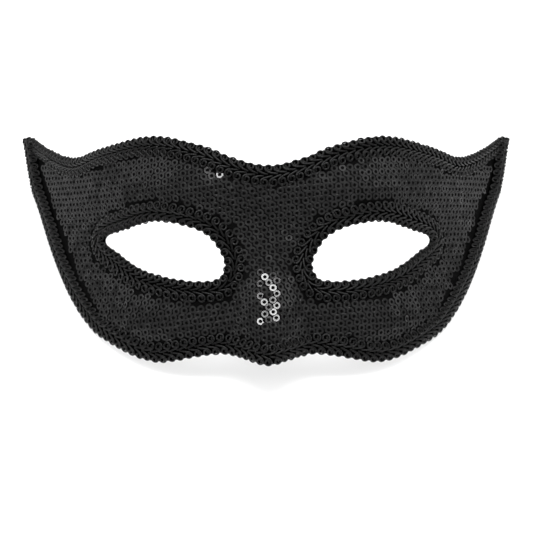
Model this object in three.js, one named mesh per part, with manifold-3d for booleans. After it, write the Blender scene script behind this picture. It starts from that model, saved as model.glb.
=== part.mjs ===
// Masquerade half mask, leaning back on its two temple edges: a stiff curved shell faced with sequin
// cloth, and three lengths of scroll braid, one round the outer edge and one round each eye opening.
// Millimetres. The mask is built with its brow towards +Y and its face towards +Z, from the middle of
// the face, and the last lines lean it back: it then faces -Y and upwards, with +Z up from the surface
// that it rests on.
import * as THREE from "three";
import { mergeVertices } from "three/addons/utils/BufferGeometryUtils.js";
import Module from "manifold-3d";

const wasm = await Module();
wasm.setup();

// Overall form
const HALF_WIDTH = 104; // centre line to the braid's edge at a horn tip
const HALF_HEIGHT = 46.3; // middle of the face to the tip of the nose
const WALL = 2; // shell and cloth together
const EDGE_FALL = 4; // how far the face drops back from mid height to its top and bottom edges

// Sides, which bend back round the temples
const SIDE_SLOPE = 1.85; // fall for each millimetre across, where the side is steepest
const BEND_STARTS = 0.1; // share of the half width where the face starts to bend
const BEND_FULL = 0.85; // and where the side runs straight back
const CHEEK_STEEPNESS = 0.62; // steepness of the sides at the cheeks, as a share of that at the brow
const BROW_LEVEL = 0.6; // share of the half height from which the sides have their full steepness

// Rest
const REST_LEAN = THREE.MathUtils.degToRad(48.7); // from lying flat, face up
const REST_HEIGHT = 43.7; // middle of the face over the surface

// Relief of the face
const NOSE_RISE = 13; // ridge above the cheeks at the lower edge
const NOSE_HALF_WIDTH = 19; // ridge to the cheek at the lower edge
const BRIDGE_HALF_WIDTH = 12; // the same between the eyes
const RELIEF = 4; // brow and cheek mounds, and the hollow of the bridge

// Eye openings, as the braid leaves them
const EYE_LENGTH = 49.1;
const EYE_HEIGHT = 24;
const EYE_SPACING = 83.3; // middle to middle
const EYE_DROP = 1.7; // middle of the opening below mid height

// Scroll braid
const BRAID_WIDTH = 8.6;
const BRAID_THICKNESS = 1.5;
const BRAID_OVERHANG = 1.1; // loops standing past the shell's edge
const BRAID_ROLL = 2; // rise of its seam where it rolls over a temple edge
const LOOP_PITCH = 3.6; // from one scroll to the next
const LOOP_DEPTH = 0.8; // notch between two scrolls
const SEAT_GAP = 0.4; // braid to cloth
const FOOT_CLEARANCE = 0.6; // braid to the surface that the mask rests on

// Half outline of the braid's edge from the notch of the brow to the tip of the nose, in shares of the
// half width and the half height
const HALF_OUTLINE = [
  { place: "notch", across: 0, up: 0.692 },
  { place: "inner brow", across: 0.12, up: 0.745 },
  { place: "rising brow", across: 0.248, up: 0.859 },
  { place: "brow peak", across: 0.436, up: 0.95 },
  { place: "falling brow", across: 0.631, up: 0.879 },
  { place: "valley", across: 0.762, up: 0.805 },
  { place: "rising horn", across: 0.892, up: 0.911 },
  { place: "horn top", across: 0.973, up: 1.027 },
  { place: "horn tip", across: 0.996, up: 1.021 },
  { place: "horn side", across: 0.99, up: 0.932 },
  { place: "upper temple", across: 0.938, up: 0.425 },
  { place: "temple", across: 0.843, up: -0.2 },
  { place: "lower temple", across: 0.72, up: -0.64 },
  { place: "jaw", across: 0.567, up: -0.87 },
  { place: "cheek", across: 0.429, up: -0.978 },
  { place: "inner cheek", across: 0.266, up: -0.93 },
  { place: "nostril arch", across: 0.173, up: -0.906 },
  { place: "nose flank", across: 0.089, up: -0.944 },
  { place: "nose tip", across: 0, up: -0.995 },
];

// Mounds and hollows of the face: place and spread in shares of the half width and the half height,
// rise in shares of RELIEF
const MOUNDS = [
  { place: "brow", across: 0.36, up: 0.5, spreadAcross: 0.3, spreadUp: 0.24, rise: 1 },
  { place: "eye", across: 0.42, up: -0.04, spreadAcross: 0.24, spreadUp: 0.28, rise: -1 },
  { place: "cheek", across: 0.42, up: -0.66, spreadAcross: 0.22, spreadUp: 0.28, rise: 0.9 },
  { place: "bridge", across: 0, up: 0.12, spreadAcross: 0.16, spreadUp: 0.3, rise: -0.9 },
];

// Ridge of the nose, in shares of the half height: it starts at the bridge and is full near the tip
const NOSE_TOP = 0.14;
const NOSE_FULL = -0.78;

// Eye opening about its own middle, in shares of its half length (outwards) and half height
const EYE_OUTLINE = [
  { place: "outer corner", out: 1, up: 0.39 },
  { place: "outer lid", out: 0.56, up: 0.77 },
  { place: "top", out: 0.12, up: 1 },
  { place: "inner lid", out: -0.32, up: 0.88 },
  { place: "inner rise", out: -0.7, up: 0.57 },
  { place: "inner side", out: -0.91, up: 0.06 },
  { place: "inner corner", out: -1, up: -0.5 },
  { place: "lower inner", out: -0.9, up: -0.9 },
  { place: "bottom", out: -0.58, up: -1 },
  { place: "lower lid", out: -0.1, up: -0.89 },
  { place: "lower outer", out: 0.34, up: -0.61 },
  { place: "outer rise", out: 0.72, up: -0.1 },
];

// Braid across its width: place as a share of the width, lift and roll as shares of the thickness and
// of the roll over a temple edge
const BRAID_SECTION = [
  { place: "edge at the outline", across: 0, lift: 0.2, roll: 0 },
  { place: "first crown", across: 0.27, lift: 1, roll: 0.8 },
  { place: "seam", across: 0.5, lift: 0.65, roll: 1 },
  { place: "second crown", across: 0.73, lift: 1, roll: 0.55 },
  { place: "edge on the cloth", across: 1, lift: 0.2, roll: 0 },
  { place: "underside", across: 0.5, lift: 0, roll: 0 },
];
const ROLL_SLOPES = { starts: 0.7, full: 1.4 }; // rise of the face across the braid, for its length in plan

// Resolution
const SHEET_COLUMNS = 52;
const SHEET_ROWS = 22;
const OUTLINE_POINTS = 128;
const EYE_POINTS = 42;
const FINE_POINTS = 1200;
const WALK_STEPS = 12;
const SLOPE_SPAN = 0.5;
const HALVINGS = 24;
const NORMAL_SPREAD = 6; // fine points either side that a braid's heading is taken over
const SHEET_MARGIN = 1.06; // sheet past the outline before it is cut
const NOSE_CROWDING = 0.86; // columns lie closer together towards the nose
const OWN_STRETCH = 3; // part of an outline about a point that doesn't narrow the room beside it
const ROOM_USED = 0.9; // share of the room beside a tight corner that a band may fill

// Surface of the face
function bendTo(share) {
  const span = BEND_FULL - BEND_STARTS;
  const through = THREE.MathUtils.clamp((share - BEND_STARTS) / span, 0, 1);
  return span * (through ** 3 - through ** 4 / 2) + Math.max(0, share - BEND_FULL);
}

function faceHeight(x, y) {
  const across = Math.abs(x) / HALF_WIDTH;
  const up = y / HALF_HEIGHT;
  const steepness = THREE.MathUtils.lerp(CHEEK_STEEPNESS, 1, THREE.MathUtils.smoothstep(up, -1, BROW_LEVEL));
  const side = SIDE_SLOPE * HALF_WIDTH * steepness * bendTo(across);
  let relief = 0;
  for (const mound of MOUNDS) {
    const a = (across - mound.across) / mound.spreadAcross;
    const b = (up - mound.up) / mound.spreadUp;
    relief += mound.rise * RELIEF * Math.exp(-a * a - b * b);
  }
  const down = THREE.MathUtils.clamp((NOSE_TOP - up) / (NOSE_TOP - NOSE_FULL), 0, 1);
  const noseWidth = THREE.MathUtils.lerp(BRIDGE_HALF_WIDTH, NOSE_HALF_WIDTH, down);
  const flank = (1 + Math.cos(Math.PI * Math.min(1, Math.abs(x) / noseWidth))) / 2;
  const nose = NOSE_RISE * THREE.MathUtils.smoothstep(down, 0, 1) * flank;
  return relief + nose - side - EDGE_FALL * up * up;
}

// Height of the face over the surface that the mask rests on
function restHeight(x, y) {
  return y * Math.sin(REST_LEAN) + faceHeight(x, y) * Math.cos(REST_LEAN) + REST_HEIGHT;
}

function faceNormal(x, y) {
  const step = 0.05;
  const slopeX = (faceHeight(x + step, y) - faceHeight(x - step, y)) / (2 * step);
  const slopeY = (faceHeight(x, y + step) - faceHeight(x, y - step)) / (2 * step);
  return new THREE.Vector3(-slopeX, -slopeY, 1).normalize();
}

// A point over the face at a plan place, lifted along the face's normal
function facePoint(plan, lift) {
  const point = new THREE.Vector3(plan.x, plan.y, faceHeight(plan.x, plan.y));
  return point.addScaledVector(faceNormal(plan.x, plan.y), lift);
}

// Outlines, in plan and counter-clockwise
function closedCurve(points, count) {
  const spline = new THREE.CatmullRomCurve3(
    points.map((point) => new THREE.Vector3(point.x, point.y, 0)),
    true,
    "centripetal",
  );
  spline.arcLengthDivisions = FINE_POINTS;
  const spaced = spline.getSpacedPoints(count).slice(0, count);
  return spaced.map((point) => new THREE.Vector2(point.x, point.y));
}

function maskOutline(count) {
  const right = HALF_OUTLINE.map((row) => new THREE.Vector2(row.across * HALF_WIDTH, row.up * HALF_HEIGHT));
  const left = right.slice(1, -1).map((point) => new THREE.Vector2(-point.x, point.y));
  return closedCurve([...right.reverse(), ...left], count);
}

function eyeOutline(side, count) {
  const points = EYE_OUTLINE.map((row) => new THREE.Vector2(
    side * (EYE_SPACING / 2 + (row.out * EYE_LENGTH) / 2),
    (row.up * EYE_HEIGHT) / 2 - EYE_DROP,
  ));
  return closedCurve(side > 0 ? points : points.reverse(), count);
}

// Left-hand normal of a closed outline at one of its points, which is inwards on these outlines
function normalAt(outline, index, spread = 1) {
  const before = outline[(index + outline.length - spread) % outline.length];
  const after = outline[(index + spread) % outline.length];
  return new THREE.Vector2(before.y - after.y, after.x - before.x).normalize();
}

function movedInwards(outline, distance) {
  return outline.map((point, index) => point.clone().addScaledVector(normalAt(outline, index), distance));
}

// An outline with its temple stretches drawn in to where the face clears the surface under the mask
function clearOfSurface(outline) {
  return outline.map((point) => {
    if (restHeight(point.x, point.y) >= FOOT_CLEARANCE) return point.clone();
    let clear = point.x / 2;
    let low = point.x;
    for (let count = 0; count < HALVINGS; count += 1) {
      const middle = (clear + low) / 2;
      if (restHeight(middle, point.y) >= FOOT_CLEARANCE) clear = middle;
      else low = middle;
    }
    return new THREE.Vector2(clear, point.y);
  });
}

// Solids
function toManifold(geometry) {
  geometry.deleteAttribute("normal");
  geometry.deleteAttribute("uv");
  const merged = mergeVertices(geometry, 1e-4);
  return new wasm.Manifold(new wasm.Mesh({
    numProp: 3,
    vertProperties: new Float32Array(merged.attributes.position.array),
    triVerts: new Uint32Array(merged.index.array),
  }));
}

function fromManifold(solid) {
  const mesh = solid.getMesh();
  const geometry = new THREE.BufferGeometry();
  geometry.setAttribute("position", new THREE.BufferAttribute(new Float32Array(mesh.vertProperties), 3));
  geometry.setIndex(Array.from(mesh.triVerts));
  geometry.computeVertexNormals();
  return geometry;
}

// The curved wall as a rectangle in plan: its outer face, its inner face and four narrow sides
function wallSheet() {
  const outer = [];
  const inner = [];
  for (let row = 0; row <= SHEET_ROWS; row += 1) {
    const y = SHEET_MARGIN * HALF_HEIGHT * ((2 * row) / SHEET_ROWS - 1);
    for (let column = 0; column <= SHEET_COLUMNS; column += 1) {
      const share = (2 * column) / SHEET_COLUMNS - 1;
      const x = SHEET_MARGIN * HALF_WIDTH * share * (NOSE_CROWDING + (1 - NOSE_CROWDING) * share * share);
      const plan = new THREE.Vector2(x, y);
      outer.push(...facePoint(plan, 0).toArray());
      inner.push(...facePoint(plan, -WALL).toArray());
    }
  }
  const across = SHEET_COLUMNS + 1;
  const innerStart = across * (SHEET_ROWS + 1);
  const faces = [];
  const quad = (a, b, c, d) => faces.push(a, b, c, a, c, d);
  for (let row = 0; row < SHEET_ROWS; row += 1) {
    for (let column = 0; column < SHEET_COLUMNS; column += 1) {
      const corner = row * across + column;
      quad(corner, corner + 1, corner + across + 1, corner + across);
      const under = innerStart + corner;
      quad(under, under + across, under + across + 1, under + 1);
    }
  }
  const border = [];
  for (let column = 0; column < SHEET_COLUMNS; column += 1) border.push(column);
  for (let row = 0; row < SHEET_ROWS; row += 1) border.push(row * across + SHEET_COLUMNS);
  for (let column = SHEET_COLUMNS; column > 0; column -= 1) border.push(SHEET_ROWS * across + column);
  for (let row = SHEET_ROWS; row > 0; row -= 1) border.push(row * across);
  border.forEach((here, index) => {
    const next = border[(index + 1) % border.length];
    quad(here, innerStart + here, innerStart + next, next);
  });
  const geometry = new THREE.BufferGeometry();
  geometry.setAttribute("position", new THREE.Float32BufferAttribute(new Float32Array([...outer, ...inner]), 3));
  geometry.setIndex(faces);
  return geometry;
}

// The wall cut to the mask's outline and eye openings, and level along both temple edges
function shellGeometry() {
  const outline = new THREE.Shape(movedInwards(maskOutline(OUTLINE_POINTS), BRAID_OVERHANG));
  for (const side of [-1, 1]) {
    const opening = movedInwards(eyeOutline(side, EYE_POINTS), -BRAID_OVERHANG);
    outline.holes.push(new THREE.Path(opening.reverse()));
  }
  const reach = 2 * SIDE_SLOPE * HALF_WIDTH;
  const cutter = new THREE.ExtrudeGeometry(outline, { depth: reach, bevelEnabled: false, steps: 1 });
  cutter.translate(0, 0, -reach / 2);
  const aboveSurface = new THREE.BoxGeometry(reach, reach, reach);
  aboveSurface.translate(0, 0, reach / 2 - REST_HEIGHT);
  aboveSurface.rotateX(-REST_LEAN);
  const cut = toManifold(wallSheet()).intersect(toManifold(cutter));
  return fromManifold(cut.intersect(toManifold(aboveSurface)));
}

// Rise of the face for each millimetre of plan, from a place along a plan heading
function slopeAlong(place, heading) {
  const there = place.clone().addScaledVector(heading, SLOPE_SPAN);
  return (faceHeight(there.x, there.y) - faceHeight(place.x, place.y)) / SLOPE_SPAN;
}

// Plan distance from a point that covers a distance measured on the face
function planReach(start, heading, distance) {
  const step = distance / WALK_STEPS;
  let reach = 0;
  for (let count = 0; count < WALK_STEPS; count += 1) {
    const here = start.clone().addScaledVector(heading, reach);
    reach += step / Math.hypot(1, slopeAlong(here, heading));
  }
  return reach;
}

// Radius of the largest circle that touches an outline at a point and holds no other stretch of it
function roomBeside(outline, point, heading) {
  let room = Infinity;
  for (const other of outline) {
    const gap = other.clone().sub(point);
    const ahead = gap.dot(heading);
    if (ahead > 0 && gap.length() > OWN_STRETCH) room = Math.min(room, gap.lengthSq() / (2 * ahead));
  }
  return room;
}

// Places on an outline, evenly spaced along the face, two for each scroll of the braid
function braidStations(outline, toward) {
  const along = [0];
  const lifted = outline.map((point) => facePoint(point, 0));
  lifted.forEach((point, index) => {
    along.push(along[index] + point.distanceTo(lifted[(index + 1) % lifted.length]));
  });
  const length = along[outline.length];
  const count = 2 * Math.round(length / LOOP_PITCH);
  const stations = [];
  let index = 0;
  for (let station = 0; station < count; station += 1) {
    const distance = (length * station) / count;
    while (along[index + 1] <= distance) index += 1;
    const heading = normalAt(outline, index, NORMAL_SPREAD).multiplyScalar(toward);
    stations.push({ edge: outline[index], heading, crest: station % 2 === 0 });
  }
  return stations;
}

// A band laid on the face beside an outline, its two edges notched between the scrolls. Where the
// outline is a steep edge of the shell, the band rolls over it.
function braidGeometry(outline, toward, rollOver) {
  const stations = braidStations(outline, toward);
  const positions = [];
  for (const { edge, heading, crest } of stations) {
    const room = ROOM_USED * roomBeside(outline, edge, heading);
    const full = planReach(edge, heading, BRAID_WIDTH);
    const notch = crest ? 0 : LOOP_DEPTH;
    const roll = rollOver * THREE.MathUtils.smoothstep(
      slopeAlong(edge, heading),
      ROLL_SLOPES.starts,
      ROLL_SLOPES.full,
    );
    for (const row of BRAID_SECTION) {
      const inset = THREE.MathUtils.lerp(notch, BRAID_WIDTH - notch, row.across);
      const reach = (planReach(edge, heading, inset) * Math.min(full, room)) / full;
      const plan = edge.clone().addScaledVector(heading, reach);
      const lift = SEAT_GAP + row.lift * BRAID_THICKNESS + row.roll * roll;
      positions.push(...facePoint(plan, lift).toArray());
    }
  }
  const ring = BRAID_SECTION.length;
  const faces = [];
  for (let station = 0; station < stations.length; station += 1) {
    const next = (station + 1) % stations.length;
    for (let k = 0; k < ring; k += 1) {
      const a = station * ring + k;
      const b = next * ring + k;
      const c = next * ring + ((k + 1) % ring);
      const d = station * ring + ((k + 1) % ring);
      faces.push(...(toward > 0 ? [a, b, c, a, c, d] : [a, c, b, a, d, c]));
    }
  }
  const geometry = new THREE.BufferGeometry();
  geometry.setAttribute("position", new THREE.Float32BufferAttribute(positions, 3));
  geometry.setIndex(faces);
  geometry.computeVertexNormals();
  return geometry;
}

// Assembly
function piece(name, geometry, finish) {
  const mesh = new THREE.Mesh(geometry, new THREE.MeshStandardMaterial(finish));
  mesh.name = name;
  return mesh;
}

const sequinCloth = { color: 0x17181b, roughness: 0.35, metalness: 0.1 };
const braidCord = { color: 0x0d0d0f, roughness: 0.75, metalness: 0 };

const mask = new THREE.Group();
mask.add(piece("mask_shell", shellGeometry(), sequinCloth));
mask.add(piece("outer_braid", braidGeometry(clearOfSurface(maskOutline(FINE_POINTS)), 1, BRAID_ROLL), braidCord));
mask.add(piece("left_eye_braid", braidGeometry(eyeOutline(-1, FINE_POINTS), -1, 0), braidCord));
mask.add(piece("right_eye_braid", braidGeometry(eyeOutline(1, FINE_POINTS), -1, 0), braidCord));

// The origin is under the middle of the mask, on the surface that it rests on
mask.rotation.x = REST_LEAN;
const bounds = new THREE.Box3().setFromObject(mask, true);
const centre = bounds.getCenter(new THREE.Vector3());
mask.position.set(-centre.x, -centre.y, -bounds.min.z);

export default mask;
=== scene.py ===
"""Sequin half mask with scroll braid, leaning back on its two temple edges.

The curved form repeats the named sizes of the CAD part in millimetres: x across the mask, y towards
its brow and z out of its face, from the middle of the face. Rest carries points from there into the
part's frame in metres.
"""

from __future__ import annotations

import logging
import math
from dataclasses import dataclass, field
from enum import Enum

import bmesh
import bpy
import numpy as np
from mathutils import Matrix, Vector
from mathutils.geometry import delaunay_2d_cdt

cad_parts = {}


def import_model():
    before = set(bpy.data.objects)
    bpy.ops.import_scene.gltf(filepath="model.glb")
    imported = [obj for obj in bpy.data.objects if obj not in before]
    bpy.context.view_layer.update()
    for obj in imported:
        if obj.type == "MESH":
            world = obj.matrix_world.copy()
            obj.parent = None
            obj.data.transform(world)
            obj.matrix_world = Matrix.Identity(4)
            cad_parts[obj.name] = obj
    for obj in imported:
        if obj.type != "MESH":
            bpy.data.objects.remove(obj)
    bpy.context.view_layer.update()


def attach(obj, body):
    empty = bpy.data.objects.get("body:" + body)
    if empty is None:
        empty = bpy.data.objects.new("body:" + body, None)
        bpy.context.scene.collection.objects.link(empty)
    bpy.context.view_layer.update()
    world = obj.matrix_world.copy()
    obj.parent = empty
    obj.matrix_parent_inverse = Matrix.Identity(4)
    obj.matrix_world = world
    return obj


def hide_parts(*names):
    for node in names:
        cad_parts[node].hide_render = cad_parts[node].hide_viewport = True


LOG = logging.getLogger("half_mask")
MM = 0.001

# Points on an outline that pieces follow closely, and samples from one of its named points to the next
FINE_POINTS = 1200
CURVE_STEPS = 60

# Run that a slope is taken over, and least height of the braid's edge over the surface under it, in mm
SLOPE_RUN = 0.5
EDGE_CLEARANCE = 0.6

# Half outline of the braid's edge from the notch of the brow to the tip of the nose, across and up in
# shares of the half width and the half height
HALF_OUTLINE = {
    "notch": (0.0, 0.692),
    "inner brow": (0.12, 0.745),
    "rising brow": (0.248, 0.859),
    "brow peak": (0.436, 0.95),
    "falling brow": (0.631, 0.879),
    "valley": (0.762, 0.805),
    "rising horn": (0.892, 0.911),
    "horn top": (0.973, 1.027),
    "horn tip": (0.996, 1.021),
    "horn side": (0.99, 0.932),
    "upper temple": (0.938, 0.425),
    "temple": (0.843, -0.2),
    "lower temple": (0.72, -0.64),
    "jaw": (0.567, -0.87),
    "cheek": (0.429, -0.978),
    "inner cheek": (0.266, -0.93),
    "nostril arch": (0.173, -0.906),
    "nose flank": (0.089, -0.944),
    "nose tip": (0.0, -0.995),
}

# Eye opening about its own middle: outwards and up in shares of its half length and half height
EYE_OUTLINE = {
    "outer corner": (1.0, 0.39),
    "outer lid": (0.56, 0.77),
    "top": (0.12, 1.0),
    "inner lid": (-0.32, 0.88),
    "inner rise": (-0.7, 0.57),
    "inner side": (-0.91, 0.06),
    "inner corner": (-1.0, -0.5),
    "lower inner": (-0.9, -0.9),
    "bottom": (-0.58, -1.0),
    "lower lid": (-0.1, -0.89),
    "lower outer": (0.34, -0.61),
    "outer rise": (0.72, -0.1),
}

# Mounds and hollows of the face: across, up, spread across, spread up, rise
MOUNDS = {
    "brow": (0.36, 0.5, 0.3, 0.24, 1.0),
    "eye": (0.42, -0.04, 0.24, 0.28, -1.0),
    "cheek": (0.42, -0.66, 0.22, 0.28, 0.9),
    "bridge": (0.0, 0.12, 0.16, 0.3, -0.9),
}

# One scroll of the braid, drawn from the seam: ahead along the braid, out from the seam, and sunk
# under the scroll's top, in mm
SCROLL_PATH = {
    "leaves the seam": (3.5, 0.34, 0.3),
    "stem": (2.5, 0.5, 0.1),
    "stem rises": (1.5, 0.74, 0.0),
    "stem meets the loop": (0.5, 1.04, 0.0),
    "turns out": (-0.5, 1.44, 0.0),
    "rear side": (-1.15, 2.1, 0.0),
    "rear shoulder": (-1.28, 2.9, 0.0),
    "top rear": (-0.85, 3.68, 0.0),
    "top front": (0.05, 4.0, 0.0),
    "front shoulder": (0.92, 3.66, 0.0),
    "front side": (1.3, 2.88, 0.0),
    "turns in": (1.08, 2.12, 0.1),
    "tucks under": (0.45, 1.78, 0.3),
    "curls back": (-0.22, 2.05, 0.45),
    "inner side": (-0.42, 2.6, 0.5),
    "curled end": (-0.1, 3.05, 0.5),
}

# Braid across its width: place as a share of the width, lift as a share of the thickness and roll as a
# share of the roll over a temple edge
BRAID_SECTION = {
    "edge at the outline": (0.0, 0.2, 0.0),
    "first crown": (0.27, 1.0, 0.8),
    "seam": (0.5, 0.65, 1.0),
    "second crown": (0.73, 1.0, 0.55),
    "edge on the cloth": (1.0, 0.2, 0.0),
}

# How the sequin rows climb across the mask: place across in mm, climb in degrees
ROW_CLIMB = {
    "left temple": (-90.0, 0.0),
    "left brow": (-55.0, 6.0),
    "beside the nose": (-22.0, 7.0),
    "left of the ridge": (-8.0, 17.0),
    "right of the ridge": (8.0, 5.0),
    "right brow": (50.0, 3.0),
    "right temple": (90.0, 0.0),
}

# Where the cloth is glued flat, so that its sequins face one way: middle across and up, half lengths
# across and up, in mm
FLAT_PATCHES = {
    "ridge of the nose": (0.0, -20.0, 3.8, 10.5),
    "bridge": (0.0, 0.5, 13.0, 9.5),
}


class Row(Enum):
    """The two rows of scrolls in a braid, either side of its seam."""

    OUTLINE_SIDE = -1
    CLOTH_SIDE = 1


def smoothstep(value: np.ndarray, low: float, high: float) -> np.ndarray:
    """Smooth rise from 0 at low to 1 at high.

    Args:
        value: the numbers to ease.
        low: where the rise starts.
        high: where it ends.

    Returns:
        The eased shares.
    """
    share = np.clip((value - low) / (high - low), 0.0, 1.0)
    return share * share * (3.0 - 2.0 * share)


def unit(vectors: np.ndarray) -> np.ndarray:
    """Vectors of length one, along the last axis."""
    return vectors / np.linalg.norm(vectors, axis=-1, keepdims=True)


def centripetal_curve(points: np.ndarray, closed: bool, steps: int) -> np.ndarray:
    """Centripetal Catmull-Rom curve through points.

    Args:
        points: the points to pass through, one per row.
        closed: whether the last point joins the first.
        steps: samples for each span.

    Returns:
        The samples, one per row, with the last end left off a closed curve.
    """
    if closed:
        ring = np.vstack([points[-1:], points, points[:2]])
    else:
        ring = np.vstack([2 * points[:1] - points[1:2], points, 2 * points[-1:] - points[-2:-1]])
    before, start, end, after = ring[:-3], ring[1:-2], ring[2:-1], ring[3:]

    def knot(a: np.ndarray, b: np.ndarray) -> np.ndarray:
        """Knot spacing of the centripetal curve between two rows of points."""
        return np.sqrt(np.linalg.norm(b - a, axis=1, keepdims=True))

    d0, d1, d2 = knot(before, start), knot(start, end), knot(end, after)
    leave = ((start - before) / d0 - (end - before) / (d0 + d1) + (end - start) / d1) * d1
    arrive = ((end - start) / d1 - (after - start) / (d1 + d2) + (after - end) / d2) * d1
    share = (np.arange(steps) / steps)[None, :, None]
    cubic = (2 * start - 2 * end + leave + arrive)[:, None]
    square = (3 * end - 3 * start - 2 * leave - arrive)[:, None]
    samples = start[:, None] + leave[:, None] * share + square * share**2 + cubic * share**3
    samples = samples.reshape(-1, points.shape[1])
    return samples if closed else np.vstack([samples, points[-1:]])


def evenly_spaced(curve: np.ndarray, count: int, closed: bool) -> np.ndarray:
    """Points at equal distances along a sampled curve.

    Args:
        curve: samples of the curve, one per row.
        count: how many points to return.
        closed: whether the curve closes on itself.

    Returns:
        The spaced points, one per row.
    """
    path = np.vstack([curve, curve[:1]]) if closed else curve
    along = np.concatenate([[0.0], np.cumsum(np.linalg.norm(np.diff(path, axis=0), axis=1))])
    stops = np.linspace(0.0, along[-1], count, endpoint=not closed)
    return np.column_stack([np.interp(stops, along, path[:, axis]) for axis in range(path.shape[1])])


def inside(points: np.ndarray, ring: np.ndarray) -> np.ndarray:
    """Which plan points lie inside a closed outline.

    Args:
        points: plan points, one per row.
        ring: the outline's points, one per row.

    Returns:
        True for each point inside.
    """
    ends = np.roll(ring, -1, axis=0)
    x, y = points[:, :1], points[:, 1:]
    spans = (ring[:, 1] > y) != (ends[:, 1] > y)
    rise = np.where(ends[:, 1] == ring[:, 1], 1e-12, ends[:, 1] - ring[:, 1])
    crossing = ring[:, 0] + (ends[:, 0] - ring[:, 0]) * (y - ring[:, 1]) / rise
    return np.count_nonzero(spans & (x < crossing), axis=1) % 2 == 1


def inward_normals(ring: np.ndarray, spread: int) -> np.ndarray:
    """Left-hand normals of a counter-clockwise outline, which point inwards.

    Args:
        ring: the outline's points, one per row.
        spread: points either side that the heading is taken over.

    Returns:
        A unit vector for each point.
    """
    run = np.roll(ring, -spread, axis=0) - np.roll(ring, spread, axis=0)
    return unit(np.column_stack([-run[:, 1], run[:, 0]]))


@dataclass(frozen=True)
class Rest:
    """How the mask leans on the surface under it."""

    lean_deg: float = 48.7
    middle_mm: tuple[float, float, float] = (0.065, -36.063, 43.7)

    def turn(self) -> np.ndarray:
        """Rotation from the mask's own axes to the part's.

        Returns:
            The rotation as a matrix of three rows.
        """
        lean = math.radians(self.lean_deg)
        return np.array([
            [1.0, 0.0, 0.0],
            [0.0, math.cos(lean), -math.sin(lean)],
            [0.0, math.sin(lean), math.cos(lean)],
        ])

    def place(self, points: np.ndarray) -> np.ndarray:
        """Points of the mask in millimetres, put in the part's frame in metres."""
        return (points @ self.turn().T + np.array(self.middle_mm)) * MM

    def height(self, y: np.ndarray, z: np.ndarray) -> np.ndarray:
        """Height over the surface, in millimetres, of places y up the mask and z out of it."""
        lean = math.radians(self.lean_deg)
        return y * math.sin(lean) + z * math.cos(lean) + self.middle_mm[2]


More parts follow.
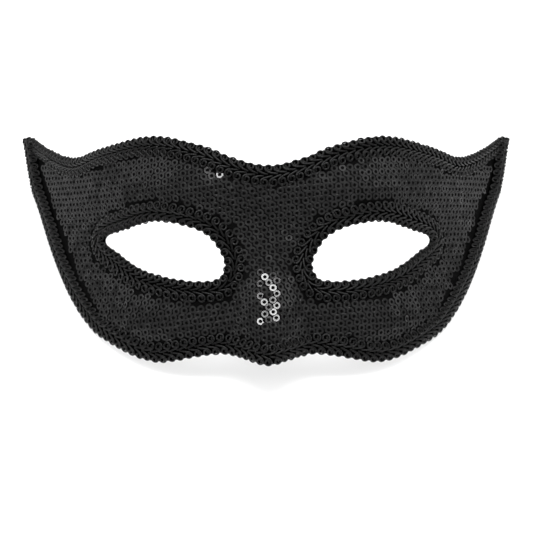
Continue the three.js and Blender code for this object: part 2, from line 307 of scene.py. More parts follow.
@dataclass(frozen=True)
class FaceForm:
    """The outer surface of the mask and the outlines drawn on it."""

    half_width: float = 104.0
    half_height: float = 46.3
    edge_fall: float = 4.0
    side_slope: float = 1.85
    bend_starts: float = 0.1
    bend_full: float = 0.85
    cheek_steepness: float = 0.62
    brow_level: float = 0.6
    nose_rise: float = 13.0
    nose_half_width: float = 19.0
    bridge_half_width: float = 12.0
    relief: float = 4.0
    nose_top: float = 0.14
    nose_full: float = -0.78
    eye_length: float = 49.1
    eye_height: float = 24.0
    eye_spacing: float = 83.3
    eye_drop: float = 1.7
    rest: Rest = field(default_factory=Rest)

    def bend(self, share: np.ndarray) -> np.ndarray:
        """Fall of a side for a slope of one.

        Args:
            share: places across as shares of the half width.

        Returns:
            The fall at each, in shares of the half width.
        """
        span = self.bend_full - self.bend_starts
        through = np.clip((share - self.bend_starts) / span, 0.0, 1.0)
        return span * (through**3 - through**4 / 2) + np.maximum(0.0, share - self.bend_full)

    def height(self, x: np.ndarray, y: np.ndarray) -> np.ndarray:
        """Height of the outer surface.

        Args:
            x: places across the mask.
            y: places up the mask.

        Returns:
            How far out of the face the surface stands at each.
        """
        across, up = np.abs(x) / self.half_width, y / self.half_height
        brow_share = smoothstep(up, -1.0, self.brow_level)
        steepness = self.cheek_steepness + (1.0 - self.cheek_steepness) * brow_share
        side = self.side_slope * self.half_width * steepness * self.bend(across)
        mounds = np.zeros_like(side)
        for place_across, place_up, spread_across, spread_up, rise in MOUNDS.values():
            a = (across - place_across) / spread_across
            b = (up - place_up) / spread_up
            mounds = mounds + rise * self.relief * np.exp(-a * a - b * b)
        down = np.clip((self.nose_top - up) / (self.nose_top - self.nose_full), 0.0, 1.0)
        width = self.bridge_half_width + (self.nose_half_width - self.bridge_half_width) * down
        flank = (1.0 + np.cos(np.pi * np.minimum(1.0, np.abs(x) / width))) / 2
        nose = self.nose_rise * smoothstep(down, 0.0, 1.0) * flank
        return mounds + nose - side - self.edge_fall * up * up

    def normal(self, plan: np.ndarray) -> np.ndarray:
        """Unit normals of the outer surface.

        Args:
            plan: plan points.

        Returns:
            A unit vector for each.
        """
        step = 0.05
        x, y = plan[..., 0], plan[..., 1]
        slope_x = (self.height(x + step, y) - self.height(x - step, y)) / (2 * step)
        slope_y = (self.height(x, y + step) - self.height(x, y - step)) / (2 * step)
        return unit(np.stack([-slope_x, -slope_y, np.ones_like(slope_x)], axis=-1))

    def slope(self, plan: np.ndarray, heading: np.ndarray) -> np.ndarray:
        """Rise of the outer surface for each millimetre of plan.

        Args:
            plan: plan points.
            heading: a unit vector in plan for each.

        Returns:
            The rise along the heading at each.
        """
        there = plan + heading * SLOPE_RUN
        rise = self.height(there[:, 0], there[:, 1]) - self.height(plan[:, 0], plan[:, 1])
        return rise / SLOPE_RUN

    def point(self, plan: np.ndarray, lift: np.ndarray | float) -> np.ndarray:
        """Points over the surface.

        Args:
            plan: plan points.
            lift: distance from the surface along its normal.

        Returns:
            The points, with the mask's own axes.
        """
        surface = np.concatenate([plan, self.height(plan[..., 0], plan[..., 1])[..., None]], axis=-1)
        return surface + self.normal(plan) * np.asarray(lift)[..., None]

    def mask_outline(self, count: int) -> np.ndarray:
        """The braid's outer edge in plan, counter-clockwise from the tip of the nose.

        Args:
            count: how many points to return.

        Returns:
            The points, evenly spaced.
        """
        right = np.array(list(HALF_OUTLINE.values())) * [self.half_width, self.half_height]
        left = right[1:-1] * [-1.0, 1.0]
        curve = centripetal_curve(np.vstack([right[::-1], left]), True, CURVE_STEPS)
        return evenly_spaced(curve, count, True)

    def eye_outline(self, side: int, count: int) -> np.ndarray:
        """One eye opening in plan, counter-clockwise.

        Args:
            side: -1 for the left eye and 1 for the right one.
            count: how many points to return.

        Returns:
            The points, evenly spaced.
        """
        shares = np.array(list(EYE_OUTLINE.values()))
        across = side * (self.eye_spacing + shares[:, 0] * self.eye_length) / 2
        points = np.column_stack([across, shares[:, 1] * self.eye_height / 2 - self.eye_drop])
        ordered = points if side > 0 else points[::-1]
        return evenly_spaced(centripetal_curve(ordered, True, CURVE_STEPS), count, True)

    def clear_outline(self, outline: np.ndarray, clearance: float) -> np.ndarray:
        """An outline drawn in at the temples to where the face clears the surface under the mask.

        Args:
            outline: the plan outline.
            clearance: least height over that surface.

        Returns:
            The outline with its low stretches moved in.
        """
        x, y = outline[:, 0], outline[:, 1]
        low = self.rest.height(y, self.height(x, y)) < clearance
        inner, outer = x / 2, x.copy()
        halvings = 24
        for _ in range(halvings):
            middle = (inner + outer) / 2
            clear = self.rest.height(y, self.height(middle, y)) >= clearance
            inner = np.where(clear, middle, inner)
            outer = np.where(clear, outer, middle)
        return np.column_stack([np.where(low, inner, x), y])


def mesh_object(name: str, points: np.ndarray, faces: list | np.ndarray) -> bpy.types.Object:
    """A smooth mesh object in the scene.

    Args:
        name: the object's name.
        points: its corners in metres, one per row.
        faces: corner numbers of each face.

    Returns:
        The object.
    """
    mesh = bpy.data.meshes.new(name)
    mesh.from_pydata(points.tolist(), [], faces.tolist() if isinstance(faces, np.ndarray) else faces)
    mesh.polygons.foreach_set("use_smooth", [True] * len(mesh.polygons))
    mesh.update()
    made = bpy.data.objects.new(name, mesh)
    bpy.context.scene.collection.objects.link(made)
    return made


def grain_group() -> bpy.types.NodeTree:
    """The group that varies a finish over the surface, made once.

    Returns:
        The group, which puts out a soft uneven amount and a fine fibre height.
    """
    name = "uneven_grain"
    if name in bpy.data.node_groups:
        return bpy.data.node_groups[name]
    group = bpy.data.node_groups.new(name, "ShaderNodeTree")
    for label, value in (("Scale", 200.0), ("Fibre Scale", 2000.0), ("Low", 0.0), ("High", 1.0)):
        socket = group.interface.new_socket(name=label, in_out="INPUT", socket_type="NodeSocketFloat")
        socket.default_value = value
    group.interface.new_socket(name="Amount", in_out="OUTPUT", socket_type="NodeSocketFloat")
    group.interface.new_socket(name="Fibre", in_out="OUTPUT", socket_type="NodeSocketFloat")
    given = group.nodes.new("NodeGroupInput")
    result = group.nodes.new("NodeGroupOutput")
    place = group.nodes.new("ShaderNodeTexCoord")
    patches = group.nodes.new("ShaderNodeTexNoise")
    patches.inputs["Detail"].default_value = 3.0
    spread = group.nodes.new("ShaderNodeMapRange")
    spread.inputs["From Min"].default_value = 0.3
    spread.inputs["From Max"].default_value = 0.7
    fibre = group.nodes.new("ShaderNodeTexNoise")
    fibre.inputs["Detail"].default_value = 2.0
    link = group.links.new
    link(place.outputs["Object"], patches.inputs["Vector"])
    link(place.outputs["Object"], fibre.inputs["Vector"])
    link(given.outputs["Scale"], patches.inputs["Scale"])
    link(given.outputs["Fibre Scale"], fibre.inputs["Scale"])
    link(patches.outputs["Fac"], spread.inputs["Value"])
    link(given.outputs["Low"], spread.inputs["To Min"])
    link(given.outputs["High"], spread.inputs["To Max"])
    link(spread.outputs["Result"], result.inputs["Amount"])
    link(fibre.outputs["Fac"], result.inputs["Fibre"])
    return group


@dataclass(frozen=True)
class Finish:
    """A black finish whose tone and roughness vary over the surface."""

    name: str
    dark: float
    light: float
    smooth_roughness: float
    rough_roughness: float
    specular: float
    patch_scale: float
    fibre_scale: float
    fibre_height_mm: float
    metallic: float = 0.0

    def material(self) -> bpy.types.Material:
        """The finish as a material, made once.

        Returns:
            The material.
        """
        if self.name in bpy.data.materials:
            return bpy.data.materials[self.name]
        made = bpy.data.materials.new(self.name)
        made.use_nodes = True
        made.diffuse_color = (self.light, self.light, self.light, 1.0)
        nodes, link = made.node_tree.nodes, made.node_tree.links.new
        shader = nodes["Principled BSDF"]
        shader.inputs["Specular IOR Level"].default_value = self.specular
        shader.inputs["Metallic"].default_value = self.metallic
        grain = nodes.new("ShaderNodeGroup")
        grain.node_tree = grain_group()
        grain.inputs["Scale"].default_value = self.patch_scale
        grain.inputs["Fibre Scale"].default_value = self.fibre_scale
        tone = nodes.new("ShaderNodeMix")
        tone.data_type = "RGBA"
        tone.inputs[6].default_value = (self.dark, self.dark, self.dark, 1.0)
        tone.inputs[7].default_value = (self.light, self.light, self.light, 1.0)
        gloss = nodes.new("ShaderNodeMapRange")
        gloss.inputs["To Min"].default_value = self.smooth_roughness
        gloss.inputs["To Max"].default_value = self.rough_roughness
        bump = nodes.new("ShaderNodeBump")
        bump.inputs["Distance"].default_value = self.fibre_height_mm * MM
        link(grain.outputs["Amount"], tone.inputs[0])
        link(grain.outputs["Amount"], gloss.inputs["Value"])
        link(tone.outputs[2], shader.inputs["Base Color"])
        link(gloss.outputs["Result"], shader.inputs["Roughness"])
        link(grain.outputs["Fibre"], bump.inputs["Height"])
        link(bump.outputs["Normal"], shader.inputs["Normal"])
        self.extend(made, shader, bump)
        return made

    def extend(self, made: bpy.types.Material, shader: bpy.types.Node, bump: bpy.types.Node) -> None:
        """Room for a finish to add its own nodes."""


@dataclass(frozen=True)
class CordFinish(Finish):
    """Satin rayon cord, its strands twisted round it."""

    turns_per_mm: float = 0.7
    strand_height_mm: float = 0.05

    def extend(self, made: bpy.types.Material, shader: bpy.types.Node, bump: bpy.types.Node) -> None:
        """Adds the twist of the strands as a second bump.

        Args:
            made: the material.
            shader: its shader.
            bump: the bump of its fibres.
        """
        nodes, link = made.node_tree.nodes, made.node_tree.links.new
        place = nodes.new("ShaderNodeUVMap")
        place.uv_map = "along_cord"
        strands = nodes.new("ShaderNodeTexWave")
        strands.bands_direction = "DIAGONAL"
        strands.inputs["Scale"].default_value = self.turns_per_mm
        strands.inputs["Distortion"].default_value = 0.4
        twist = nodes.new("ShaderNodeBump")
        twist.inputs["Distance"].default_value = self.strand_height_mm * MM
        link(place.outputs["UV"], strands.inputs["Vector"])
        link(strands.outputs["Fac"], twist.inputs["Height"])
        link(bump.outputs["Normal"], twist.inputs["Normal"])
        link(twist.outputs["Normal"], shader.inputs["Normal"])
        shader.inputs["Sheen Weight"].default_value = 0.04
        shader.inputs["Sheen Roughness"].default_value = 0.5


@dataclass(frozen=True)
class ClothFinish(Finish):
    """Plain woven cloth, its two sets of threads crossing."""

    threads_per_m: float = 420.0
    thread_height_mm: float = 0.08

    def extend(self, made: bpy.types.Material, shader: bpy.types.Node, bump: bpy.types.Node) -> None:
        """Adds the crossing threads as a second bump.

        Args:
            made: the material.
            shader: its shader.
            bump: the bump of its fibres.
        """
        nodes, link = made.node_tree.nodes, made.node_tree.links.new
        place = nodes.new("ShaderNodeTexCoord")
        over = nodes.new("ShaderNodeMath")
        over.operation = "MAXIMUM"
        for index, direction in enumerate(("X", "Y")):
            threads = nodes.new("ShaderNodeTexWave")
            threads.bands_direction = direction
            threads.inputs["Scale"].default_value = self.threads_per_m
            link(place.outputs["Object"], threads.inputs["Vector"])
            link(threads.outputs["Fac"], over.inputs[index])
        weave = nodes.new("ShaderNodeBump")
        weave.inputs["Distance"].default_value = self.thread_height_mm * MM
        link(over.outputs["Value"], weave.inputs["Height"])
        link(bump.outputs["Normal"], weave.inputs["Normal"])
        link(weave.outputs["Normal"], shader.inputs["Normal"])


CLOTH = ClothFinish(
    name="black_cloth",
    dark=0.0015,
    light=0.0035,
    smooth_roughness=0.8,
    rough_roughness=0.95,
    specular=0.03,
    patch_scale=150.0,
    fibre_scale=2500.0,
    fibre_height_mm=0.03,
)
SEQUIN = Finish(
    name="black_sequin",
    dark=0.023,
    light=0.039,
    smooth_roughness=0.12,
    rough_roughness=0.2,
    specular=0.0,
    patch_scale=330.0,
    fibre_scale=900.0,
    fibre_height_mm=0.003,
    metallic=0.5,
)
CORD = CordFinish(
    name="black_cord",
    dark=0.001,
    light=0.003,
    smooth_roughness=0.3,
    rough_roughness=0.44,
    specular=0.24,
    patch_scale=400.0,
    fibre_scale=3500.0,
    fibre_height_mm=0.02,
)
# Black backing under the scrolls, darker and duller than the cord: partly the braid's own black, partly
# painted shade between the scrolls
CORE_AND_SHADE = Finish(
    name="braid_core_and_shade",
    dark=0.0005,
    light=0.001,
    smooth_roughness=0.9,
    rough_roughness=0.97,
    specular=0.0,
    patch_scale=300.0,
    fibre_scale=2500.0,
    fibre_height_mm=0.03,
)


def dress(made: bpy.types.Object, finish: Finish) -> None:
    """Gives a piece its finish and its place on the part.

    Args:
        made: the piece.
        finish: its finish.
    """
    made.data.materials.clear()
    made.data.materials.append(finish.material())
    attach(made, "root")


@dataclass
class MaskShell:
    """The stiff curved wall with its cloth, cut level where the mask rests on it."""

    form: FaceForm
    wall: float = 2.0
    edge_inset: float = 1.1
    grid_step: float = 1.8
    grid_reach: float = 1.06
    ring_gap: float = 0.6
    sharp_deg: float = 50.0
    outline_points: int = 400
    eye_points: int = 150

    def rings(self) -> list[np.ndarray]:
        """The wall's edges in plan.

        Returns:
            The points of its outer edge, of its left eye opening and of its right one.
        """
        edge = self.form.mask_outline(self.outline_points)
        rings = [edge + inward_normals(edge, 2) * self.edge_inset]
        for side in (-1, 1):
            eye = self.form.eye_outline(side, self.eye_points)
            rings.append(eye - inward_normals(eye, 2) * self.edge_inset)
        return rings

    def plan_mesh(self) -> tuple[np.ndarray, np.ndarray]:
        """The wall's plan as triangles.

        Returns:
            Plan points, and the corner numbers of each triangle, counter-clockwise.
        """
        rings = self.rings()
        step = self.grid_step
        across = np.arange(-self.form.half_width, self.form.half_width, step)
        top = self.form.half_height * self.grid_reach
        up = np.arange(-top, top, step)
        grid = np.stack(np.meshgrid(across, up), axis=-1).reshape(-1, 2)
        grid[:, 0] += (np.arange(len(grid)) // len(across) % 2) * step / 2
        keep = inside(grid, rings[0]) & ~inside(grid, rings[1]) & ~inside(grid, rings[2])
        for ring in rings:
            gap = np.linalg.norm(grid[:, None] - ring[None], axis=2).min(axis=1)
            keep &= gap > step * self.ring_gap
        points = np.vstack([*rings, grid[keep]])
        edges = []
        start = 0
        for ring in rings:
            edges += [(start + i, start + (i + 1) % len(ring)) for i in range(len(ring))]
            start += len(ring)
        weld = 1e-5
        made = delaunay_2d_cdt([Vector(point) for point in points.tolist()], edges, [], 0, weld)
        plan = np.array([tuple(point) for point in made[0]])
        triangles = np.array([tuple(face) for face in made[2]])
        middles = plan[triangles].mean(axis=1)
        kept = inside(middles, rings[0]) & ~inside(middles, rings[1]) & ~inside(middles, rings[2])
        return plan, triangles[kept]

    def build(self) -> bpy.types.Object:
        """The wall as a closed mesh with a level foot at each temple.

        Returns:
            The wall's object.
        """
        plan, triangles = self.plan_mesh()
        outer = self.form.point(plan, 0.0)
        inner = self.form.point(plan, -self.wall)
        count = len(plan)
        sides = np.concatenate([triangles[:, [0, 1]], triangles[:, [1, 2]], triangles[:, [2, 0]]])
        used = {tuple(side) for side in sides.tolist()}
        rim = [[a, a + count, b + count, b] for a, b in used if (b, a) not in used]
        faces = triangles.tolist() + (triangles[:, ::-1] + count).tolist() + rim
        wall = mesh_object("mask_wall", self.form.rest.place(np.vstack([outer, inner])), faces)
        work = bmesh.new()
        work.from_mesh(wall.data)
        loose = [vert for vert in work.verts if not vert.link_faces]
        bmesh.ops.delete(work, geom=loose, context="VERTS")
        parts = work.verts[:] + work.edges[:] + work.faces[:]
        bmesh.ops.bisect_plane(
            work,
            geom=parts,
            dist=1e-7,
            plane_co=(0, 0, 0),
            plane_no=(0, 0, -1),
            clear_outer=True,
        )
        open_edges = [edge for edge in work.edges if edge.is_boundary]
        bmesh.ops.holes_fill(work, edges=open_edges, sides=0)
        bmesh.ops.triangulate(work, faces=[face for face in work.faces if len(face.verts) > 4])
        bmesh.ops.recalc_face_normals(work, faces=work.faces)
        for face in work.faces:
            face.smooth = True
        for edge in work.edges:
            if len(edge.link_faces) == 2 and edge.calc_face_angle() > math.radians(self.sharp_deg):
                edge.smooth = False
        work.to_mesh(wall.data)
        work.free()
        dress(wall, CLOTH)
        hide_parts("mask_shell")
        return wall


@dataclass
class SequinCloth:
    """Flat round sequins sewn in rows, each over the edge of the row above it."""

    form: FaceForm
    radius: float = 1.55
    bevel: float = 0.15
    hole: float = 0.6
    thickness: float = 0.14
    pitch: float = 3.26
    row_pitch: float = 2.34
    rows_reach: float = 80.0
    row_samples: int = 2000
    # Room left for the braid, in mm from its edge. The wider room where it rolls over a steep edge leaves a
    # strip of bare black cloth as a painted shadow of the raised braid.
    braid_clear: float = 7.8
    rolled_clear_and_shadow_strip: float = 9.7
    roll_starts: float = 0.5
    roll_full: float = 1.2
    eye_clear: float = 8.9
    patch_core: float = 0.95
    patch_end: float = 1.15
    lift: float = 0.3
    lift_spread: float = 0.03
    lean_deg: float = 4.0
    unevenness_deg: float = 2.8
    patch_unevenness_deg: float = 2.1
    loose_share: float = 0.05
    loose_deg: float = 8.0
    jitter: float = 0.09
    stand: float = 0.2
    stand_lift: float = 0.22
    stand_starts: float = 0.12
    stand_full: float = 0.48
    ragged: float = 0.7
    sides: int = 15
    seed: int = 7

    def climb(self, x: np.ndarray) -> np.ndarray:
        """How far the rows have climbed from the middle of the mask.

        Args:
            x: places across the mask.

        Returns:
            The climb at each.
        """
        knots = np.array(list(ROW_CLIMB.values()))
        slope = np.tan(np.radians(np.interp(x, knots[:, 0], knots[:, 1])))
        rise = np.concatenate([[0.0], np.cumsum((slope[1:] + slope[:-1]) / 2 * np.diff(x))])
        return rise - np.interp(0.0, x, rise)

    def places(self) -> np.ndarray:
        """Where sequins could be sewn over the whole face.

        Returns:
            Plan points, row by row.
        """
        x = np.linspace(-self.form.half_width, self.form.half_width, self.row_samples)
        climb = self.climb(x)
        found = []
        reach = int(self.rows_reach / self.row_pitch)
        for row in range(-reach, reach):
            y = row * self.row_pitch + climb
            line = np.column_stack([x, y, self.form.height(x, y)])
            along = np.concatenate([[0.0], np.cumsum(np.linalg.norm(np.diff(line, axis=0), axis=1))])
            along -= np.interp(0.0, x, along)
            first = np.ceil(along[0] / self.pitch) + 1
            last = np.floor(along[-1] / self.pitch) - 1
            stops = (np.arange(first, last) + 0.5 * (row % 2)) * self.pitch
            found.append(np.column_stack([np.interp(stops, along, x), np.interp(stops, along, y)]))
        return np.vstack(found)

    def kept(self, plan: np.ndarray) -> np.ndarray:
        """The sequins that the braid leaves room for, further off where it rolls over a steep edge, baring
        black cloth there as painted shadow.

        Args:
            plan: plan points of all the sequins.

        Returns:
            The points that are kept.
        """
        outline = self.form.clear_outline(self.form.mask_outline(FINE_POINTS), EDGE_CLEARANCE)
        keep = inside(plan, outline)
        steepness = self.form.slope(outline, inward_normals(outline, 6))
        rolled = smoothstep(steepness, self.roll_starts, self.roll_full)
        # The wider room where the braid rolls over bares a strip of black cloth: painted shadow of the
        # braid
        rings = [(outline, self.braid_clear + (self.rolled_clear_and_shadow_strip - self.braid_clear) * rolled)]
        for side in (-1, 1):
            eye = self.form.eye_outline(side, FINE_POINTS // 4)
            keep &= ~inside(plan, eye)
            rings.append((eye, np.full(len(eye), self.eye_clear)))
        plan = plan[keep]
        spots = self.form.point(plan, 0.0)
        clear = np.ones(len(plan), bool)
        ragged = np.random.default_rng(self.seed).uniform(-self.ragged, self.ragged, len(plan))
        for ring, least in rings:
            edge = self.form.point(ring, 0.0)
            gap = np.linalg.norm(spots[:, None] - edge[None], axis=2) - least
            clear &= gap.min(axis=1) > ragged
        return plan[clear]

    def facing(self, plan: np.ndarray) -> tuple[np.ndarray, np.ndarray]:
        """Which way the cloth faces under each sequin, with its flat patches.

        Args:
            plan: plan points.

        Returns:
            A unit vector for each, and how far each one lies in a patch, from 0 to 1.
        """
        normal = self.form.normal(plan)
        flat = np.zeros(len(plan))
        for across, up, half_across, half_up in FLAT_PATCHES.values():
            reach = np.maximum(abs(plan[:, 0] - across) / half_across, abs(plan[:, 1] - up) / half_up)
            share = 1.0 - smoothstep(reach, self.patch_core, self.patch_end)[:, None]
            level = unit(normal[reach < 1.0].mean(axis=0))
            normal = unit(normal * (1.0 - share) + level * share)
            flat = np.maximum(flat, share[:, 0])
        return normal, flat

    def standing(self, normal: np.ndarray) -> np.ndarray:
        """How far sequins stand out from steep cloth like scales, from 0 to 1."""
        return smoothstep(1.0 - normal[:, 2], self.stand_starts, self.stand_full)

    def washer(self) -> tuple[np.ndarray, np.ndarray]:
        """One sequin, lying flat about the origin.

        Returns:
            Its corners, and its faces of four corners.
        """
        section = [
            (self.hole, -self.thickness / 2),
            (self.hole + self.bevel, self.thickness / 2),
            (self.radius - self.bevel, self.thickness / 2),
            (self.radius, -self.thickness / 4),
        ]
        turn = np.arange(self.sides) * 2 * np.pi / self.sides
        circle = np.column_stack([np.cos(turn), np.sin(turn)])
        rings = [np.column_stack([r * circle, np.full(self.sides, z)]) for r, z in section]
        faces = []
        for ring in range(len(section)):
            following = (ring + 1) % len(section)
            for k in range(self.sides):
                after = (k + 1) % self.sides
                faces.append([
                    ring * self.sides + k,
                    following * self.sides + k,
                    following * self.sides + after,
                    ring * self.sides + after,
                ])
        return np.vstack(rings), np.array(faces)

    def build(self) -> bpy.types.Object:
        """All the sequins as one mesh.

        Returns:
            The sequins' object.
        """
        chance = np.random.default_rng(self.seed)
        plan = self.kept(self.places())
        plan = plan + chance.normal(0.0, self.jitter, plan.shape)
        count = len(plan)
        normal, flat = self.facing(plan)
        standing = self.standing(normal)
        normal = unit(normal + standing[:, None] * self.stand * np.array([0.0, 0.0, 1.0]))
        right = unit(np.cross([0.0, 1.0, 0.0], normal))
        up = np.cross(normal, right)
        spread = self.unevenness_deg + (self.patch_unevenness_deg - self.unevenness_deg) * flat
        spread = np.where(chance.random(count) < self.loose_share, self.loose_deg, spread)
        lean = np.radians(self.lean_deg + chance.normal(0.0, 1.0, count) * spread)[:, None]
        roll = np.radians(chance.normal(0.0, 1.0, count) * spread)[:, None]
        face = unit(normal - np.tan(lean) * up + np.tan(roll) * right)
        turn = chance.uniform(0.0, 2 * np.pi, count)[:, None]
        first = unit(np.cross(up, face)) * np.cos(turn) + up * np.sin(turn)
        first = unit(first - face * np.sum(first * face, axis=1, keepdims=True))
        second = np.cross(face, first)
        corners, faces = self.washer()
        lift = self.lift + self.stand_lift * standing
        middle = self.form.point(plan, lift + chance.uniform(-self.lift_spread, self.lift_spread, count))
        points = (
            middle[:, None]
            + corners[None, :, :1] * first[:, None]
            + corners[None, :, 1:2] * second[:, None]
            + corners[None, :, 2:] * face[:, None]
        )
        all_faces = (faces[None] + (np.arange(count) * len(corners))[:, None, None]).reshape(-1, 4)
        made = mesh_object("sequins", self.form.rest.place(points.reshape(-1, 3)), all_faces)
        bevels = np.repeat([True, False, True, False], self.sides)
        made.data.polygons.foreach_set("use_smooth", np.tile(bevels, count))
        dress(made, SEQUIN)
        LOG.info("%d sequins", count)
        return made


@dataclass
class ScrollBraid:
    """A band of scrolled cord beside an outline, on a dark core that is partly painted shade."""

    form: FaceForm
    name: str
    node: str
    outline: np.ndarray
    toward: int
    roll: float
    width: float = 8.9
    overhang: float = 0.3
    thickness: float = 1.5
    seat_gap: float = 0.4
    pitch: float = 3.6
    cord_radius: float = 0.34
    cord_sides: int = 7
    path_steps: int = 2
    heading_spread: int = 6
    own_stretch: float = 3.0
    room_used: float = 0.9
    least_room: float = 6.2
    loop_out: float = 2.5
    roll_starts: float = 0.7
    roll_full: float = 1.4
    walk_steps: int = 24
    unevenness: float = 0.08
    size_spread: float = 0.03
    cord_clearance: float = 0.05
    core_inset: float = 0.7
    core_drop: float = 0.75
    core_least: float = 0.35
    core_foot: float = 0.05
    seed: int = 3

    def __post_init__(self) -> None:
        """Works out how the band lies on the face beside each point of its outline."""
        self.heading = inward_normals(self.outline, self.heading_spread) * self.toward
        edge = self.outline - self.heading * self.overhang
        self.outline = edge
        walk = np.zeros((len(edge), self.walk_steps + 1))
        step = self.width / self.walk_steps
        for count in range(self.walk_steps):
            here = edge + self.heading * walk[:, count : count + 1]
            walk[:, count + 1] = walk[:, count] + step / np.hypot(1.0, self.form.slope(here, self.heading))
        gaps = edge[None] - edge[:, None]
        ahead = np.einsum("ijk,ik->ij", gaps, self.heading)
        squares = np.sum(gaps**2, axis=2)
        beside = (ahead > 0) & (squares > self.own_stretch**2)
        room = np.where(beside, squares / (2 * np.where(beside, ahead, 1.0)), np.inf).min(axis=1)
        full = walk[:, -1]
        used = np.minimum(full, np.maximum(self.room_used * room, self.least_room))
        self.walk = walk * (used / full)[:, None]
        steepness = self.form.slope(edge, self.heading)
        self.rolls = self.roll * smoothstep(steepness, self.roll_starts, self.roll_full)
        lifted = self.form.point(edge, 0.0)
        runs = np.linalg.norm(np.roll(lifted, -1, axis=0) - lifted, axis=1)
        self.along = np.concatenate([[0.0], np.cumsum(runs)])
        self.length = float(self.along[-1])
        self.scrolls = round(self.length / self.pitch)

    def top(self, across: np.ndarray, rolls: np.ndarray) -> np.ndarray:
        """Height of the band's top over the cloth.

        Args:
            across: places across the band as shares of its width.
            rolls: how far the seam rises at each.

        Returns:
            The heights.
        """
        rows = np.array(list(BRAID_SECTION.values()))
        lift = np.interp(across, rows[:, 0], rows[:, 1])
        share = np.interp(across, rows[:, 0], rows[:, 2])
        return self.seat_gap + lift * self.thickness + share * rolls

    def lay(
        self, along: np.ndarray, across: np.ndarray, drop: np.ndarray | float, least: float
    ) -> tuple[np.ndarray, np.ndarray]:
        """Points on the band.

        Args:
            along: distances along the outline.
            across: distances in from the outline.
            drop: depth under the band's top.
            least: least height over the cloth.

        Returns:
            The points, and the face's normals there.
        """
        count = len(self.outline)
        place = np.interp(np.mod(along, self.length), self.along, np.arange(count + 1))
        index = place.astype(int) % count
        after = (index + 1) % count
        part = (place - np.floor(place))[..., None]
        edge = self.outline[index] * (1 - part) + self.outline[after] * part
        heading = unit(self.heading[index] * (1 - part) + self.heading[after] * part)
        column = np.clip(across / self.width, 0.0, 1.0) * self.walk_steps
        low = np.minimum(column.astype(int), self.walk_steps - 1)
        share = column - low
        part = part[..., 0]
        near = self.walk[index, low] * (1 - share) + self.walk[index, low + 1] * share
        far = self.walk[after, low] * (1 - share) + self.walk[after, low + 1] * share
        plan = edge + heading * (near * (1 - part) + far * part)[..., None]
        rolls = self.rolls[index] * (1 - part) + self.rolls[after] * part
        height = np.maximum(self.top(across / self.width, rolls) - drop, least)
        return self.form.point(plan, height), self.form.normal(plan)

    def build_core(self) -> bpy.types.Object:
        """The dark band under the scrolls, which closes the gaps between them and darkens them as painted
        shade.

        Returns:
            The band's object.
        """
        stations = np.arange(self.scrolls * 2) * self.length / (self.scrolls * 2)
        bends = [BRAID_SECTION[place][0] * self.width for place in ("first crown", "seam", "second crown")]
        insets = np.array([self.core_inset, *bends, self.width - self.core_inset])
        along = np.repeat(stations[:, None], len(insets), axis=1)
        across = np.repeat(insets[None], len(stations), axis=0)
        upper, _ = self.lay(along, across, self.core_drop, self.core_least)
        under, _ = self.lay(along, across[:, ::-1], math.inf, self.core_foot)
        ring = np.concatenate([upper, under], axis=1)
        size = ring.shape[1]
        faces = []
        for station in range(len(stations)):
            following = (station + 1) % len(stations)
            for k in range(size):
                after = (k + 1) % size
                near, far = station * size, following * size
                quad = [near + k, far + k, far + after, near + after]
                faces.append(quad if self.toward > 0 else quad[::-1])
        made = mesh_object(f"{self.name}_core", self.form.rest.place(ring.reshape(-1, 3)), faces)
        dress(made, CORE_AND_SHADE)
        return made

    def row_measure(self, row: Row) -> tuple[np.ndarray, np.ndarray]:
        """How far the loops of a row have run at places along the outline.

        Args:
            row: which row.

        Returns:
            Distances along the outline, and along the middles of the row's loops.
        """
        stops = np.linspace(0.0, self.length, len(self.outline) + 1)
        across = np.full(len(stops), self.width / 2 + row.value * self.loop_out)
        line, _ = self.lay(stops, across, self.cord_radius, self.cord_radius)
        runs = np.linalg.norm(np.diff(line, axis=0), axis=1)
        return stops, np.concatenate([[0.0], np.cumsum(runs)])

    def scroll_paths(self) -> tuple[np.ndarray, np.ndarray]:
        """Centre lines of all the scrolls.

        Returns:
            Points and face normals, for each scroll and each step along it.
        """
        chance = np.random.default_rng(self.seed)
        drawn = centripetal_curve(np.array(list(SCROLL_PATH.values())), False, self.path_steps)
        points, normals = [], []
        for row in Row:
            stops, runs = self.row_measure(row)
            count = round(float(runs[-1]) / self.pitch)
            stretch = runs[-1] / count / self.pitch
            start = 0.0 if row is Row.OUTLINE_SIDE else 0.5
            centres = (np.arange(count) + start) * runs[-1] / count
            wander = chance.normal(0.0, self.unevenness, (count, 1))
            size = 1.0 + chance.normal(0.0, self.size_spread, (count, 1))
            reach = centres[:, None] - (drawn[None, :, 0] * stretch * size + wander)
            along = np.interp(np.mod(reach, runs[-1]), runs, stops)
            out = np.minimum(drawn[None, :, 1] * size, self.width / 2 - self.cord_radius)
            across = self.width / 2 + row.value * out
            drop = self.cord_radius + drawn[None, :, 2]
            spots, facing = self.lay(along, across, drop, self.cord_radius + self.cord_clearance)
            points.append(spots)
            normals.append(facing)
        return np.concatenate(points), np.concatenate(normals)

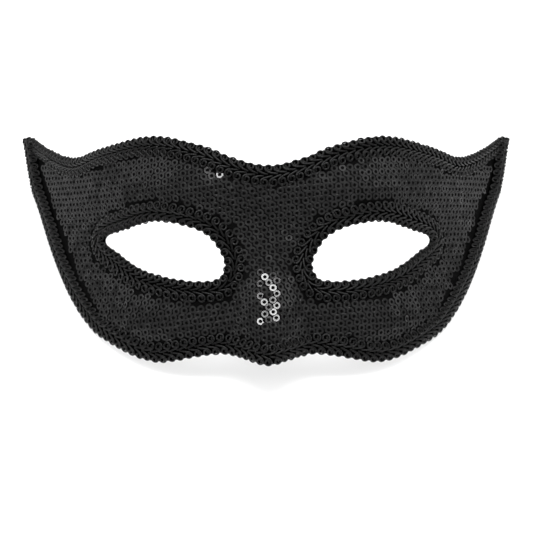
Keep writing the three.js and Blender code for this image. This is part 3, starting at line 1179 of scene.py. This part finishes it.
    def build_cords(self) -> bpy.types.Object:
        """All the scrolls as one mesh of closed tubes.

        Returns:
            The scrolls' object.
        """
        points, normals = self.scroll_paths()
        heading = unit(np.gradient(points, axis=1))
        side = unit(np.cross(heading, normals))
        over = np.cross(side, heading)
        turn = np.arange(self.cord_sides) * 2 * np.pi / self.cord_sides
        ring = (
            side[:, :, None] * np.cos(turn)[None, None, :, None]
            + over[:, :, None] * np.sin(turn)[None, None, :, None]
        )
        tubes = points[:, :, None] + ring * self.cord_radius
        count, steps = points.shape[:2]
        sides = self.cord_sides
        faces, uv = [], []
        spans = np.linalg.norm(np.diff(points, axis=1), axis=2)
        runs = np.concatenate([np.zeros((count, 1)), np.cumsum(spans, axis=1)], axis=1)
        for tube in range(count):
            start = tube * steps * sides
            for step in range(steps - 1):
                near = start + step * sides
                low, high = float(runs[tube, step]), float(runs[tube, step + 1])
                for k in range(sides):
                    after = (k + 1) % sides
                    faces.append([near + k, near + after, near + sides + after, near + sides + k])
                    left, right = k / sides, (k + 1) / sides
                    uv += [(low, left), (low, right), (high, right), (high, left)]
            last = start + (steps - 1) * sides
            faces.append(list(range(start + sides - 1, start - 1, -1)))
            uv += [(0.0, 0.0)] * sides
            faces.append(list(range(last, last + sides)))
            uv += [(float(runs[tube, -1]), 0.0)] * sides
        made = mesh_object(f"{self.name}_scrolls", self.form.rest.place(tubes.reshape(-1, 3)), faces)
        layer = made.data.uv_layers.new(name="along_cord")
        layer.data.foreach_set("uv", np.array(uv).ravel())
        made.data.update()
        dress(made, CORD)
        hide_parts(self.node)
        return made

    def build(self) -> list[bpy.types.Object]:
        """The whole braid."""
        return [self.build_core(), self.build_cords()]


@dataclass
class StudioCamera:
    """The camera, at the photograph's angle to the face."""

    rest: Rest
    target_mm: tuple[float, float, float] = (0.0, -1.2, -13.0)
    distance_mm: float = 950.0
    yaw_deg: float = 0.5
    roll_deg: float = -0.1
    image_px: float = 533.0
    mm_per_px: float = 0.397
    target_px: tuple[float, float] = (268.2, 249.9)
    sensor_mm: float = 36.0
    nearest_m: float = 0.01

    def build(self) -> bpy.types.Object:
        """The camera, aimed so that the face falls where it does in the photograph.

        Returns:
            The camera's object.
        """
        yaw = math.radians(self.yaw_deg)
        target = np.array(self.target_mm)
        toward = np.array([-math.sin(yaw), 0.0, math.cos(yaw)])
        eye = target + toward * self.distance_mm
        right = np.array([math.cos(yaw), 0.0, math.sin(yaw)])
        off_x = (self.target_px[0] - self.image_px / 2) * self.mm_per_px
        off_y = (self.image_px / 2 - self.target_px[1]) * self.mm_per_px
        aim = target - right * off_x - np.array([0.0, 1.0, 0.0]) * off_y
        place = Vector(self.rest.place(eye[None])[0])
        look = (Vector(self.rest.place(aim[None])[0]) - place).normalized()
        brow = Vector(self.rest.turn() @ np.array([0.0, 1.0, 0.0]))
        side = look.cross(brow).normalized()
        top = side.cross(look)
        roll = Matrix.Rotation(math.radians(self.roll_deg), 3, "Z")
        turn = Matrix((side, top, -look)).transposed() @ roll
        data = bpy.data.cameras.new("photo_camera")
        data.sensor_width = self.sensor_mm
        data.lens = self.sensor_mm * self.distance_mm / (self.image_px * self.mm_per_px)
        data.clip_start = self.nearest_m
        made = bpy.data.objects.new("photo_camera", data)
        made.matrix_world = Matrix.Translation(place) @ turn.to_4x4()
        bpy.context.scene.collection.objects.link(made)
        bpy.context.scene.camera = made
        return made


@dataclass(frozen=True)
class Softbox:
    """A soft area light: its place, its size in metres and its power in watts."""

    name: str
    place: tuple[float, float, float]
    size: tuple[float, float]
    power: float
    shadow: bool = True

    def build(self, aim: Vector) -> bpy.types.Object:
        """The light, turned to a point.

        Args:
            aim: the point.

        Returns:
            The light's object.
        """
        data = bpy.data.lights.new(self.name, "AREA")
        data.shape = "RECTANGLE"
        data.size, data.size_y = self.size
        data.energy = self.power
        data.use_shadow = self.shadow
        made = bpy.data.objects.new(self.name, data)
        made.location = self.place
        made.rotation_euler = (aim - Vector(self.place)).to_track_quat("-Z", "Y").to_euler()
        bpy.context.scene.collection.objects.link(made)
        return made


@dataclass
class Studio:
    """A plain pale floor under plain soft light."""

    floor_size: float = 6.0
    floor_drop: float = 0.0001
    floor_tone: float = 0.86
    sky: float = 0.25
    aim: tuple[float, float, float] = (0.0, -0.02, 0.04)
    lights: tuple[Softbox, ...] = (
        Softbox("overhead_softbox", (0.0, 0.25, 0.9), (1.1, 0.6), 10.0),
        Softbox("ridge_softbox", (0.0, -0.25, 0.81), (0.18, 0.18), 6.0, shadow=False),
        Softbox("left_softbox", (-1.0, 0.1, 0.5), (0.5, 0.7), 1.4),
        Softbox("right_softbox", (1.0, 0.1, 0.5), (0.5, 0.7), 1.7),
    )

    def build_floor(self) -> bpy.types.Object:
        """The floor.

        Returns:
            The floor's object.
        """
        half = self.floor_size / 2
        corners = [(-half, -half), (half, -half), (half, half), (-half, half)]
        points = np.array([(x, y, -self.floor_drop) for x, y in corners])
        floor = mesh_object("studio_floor", points, [[0, 1, 2, 3]])
        pale = bpy.data.materials.new("pale_floor")
        pale.use_nodes = True
        shader = pale.node_tree.nodes["Principled BSDF"]
        shader.inputs["Base Color"].default_value = (self.floor_tone, self.floor_tone, self.floor_tone, 1.0)
        shader.inputs["Roughness"].default_value = 0.9
        shader.inputs["Specular IOR Level"].default_value = 0.1
        floor.data.materials.append(pale)
        return floor

    def build(self) -> None:
        """The floor, the sky and the lights."""
        self.build_floor()
        world = bpy.data.worlds.new("studio_sky")
        world.use_nodes = True
        sky = world.node_tree.nodes["Background"]
        sky.inputs["Color"].default_value = (1.0, 1.0, 1.0, 1.0)
        sky.inputs["Strength"].default_value = self.sky
        bpy.context.scene.world = world
        bpy.context.scene.view_settings.view_transform = "Standard"
        for light in self.lights:
            light.build(Vector(self.aim))


def main() -> None:
    """Builds the mask, its studio and its camera."""
    logging.basicConfig(level=logging.INFO, format="%(message)s")
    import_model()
    form = FaceForm()
    StudioCamera(form.rest).build()
    Studio().build()
    shell = MaskShell(form).build()
    LOG.info("%s: %d faces", shell.name, len(shell.data.polygons))
    sequins = SequinCloth(form).build()
    LOG.info("%s: %d faces", sequins.name, len(sequins.data.polygons))
    outer = form.clear_outline(form.mask_outline(FINE_POINTS), EDGE_CLEARANCE)
    braids = [ScrollBraid(form, "outer", "outer_braid", outer, 1, 2.0, seed=3)]
    for side, name in ((-1, "left_eye"), (1, "right_eye")):
        eye = form.eye_outline(side, FINE_POINTS)
        braid = ScrollBraid(form, name, f"{name}_braid", eye, -1, 0.0, overhang=0.5, seed=5 + side)
        braids.append(braid)
    for braid in braids:
        LOG.info("%s braid: %.0f mm long", braid.name, braid.length)
        for piece in braid.build():
            LOG.info("%s: %d faces", piece.name, len(piece.data.polygons))


if __name__ == "__main__":
    main()
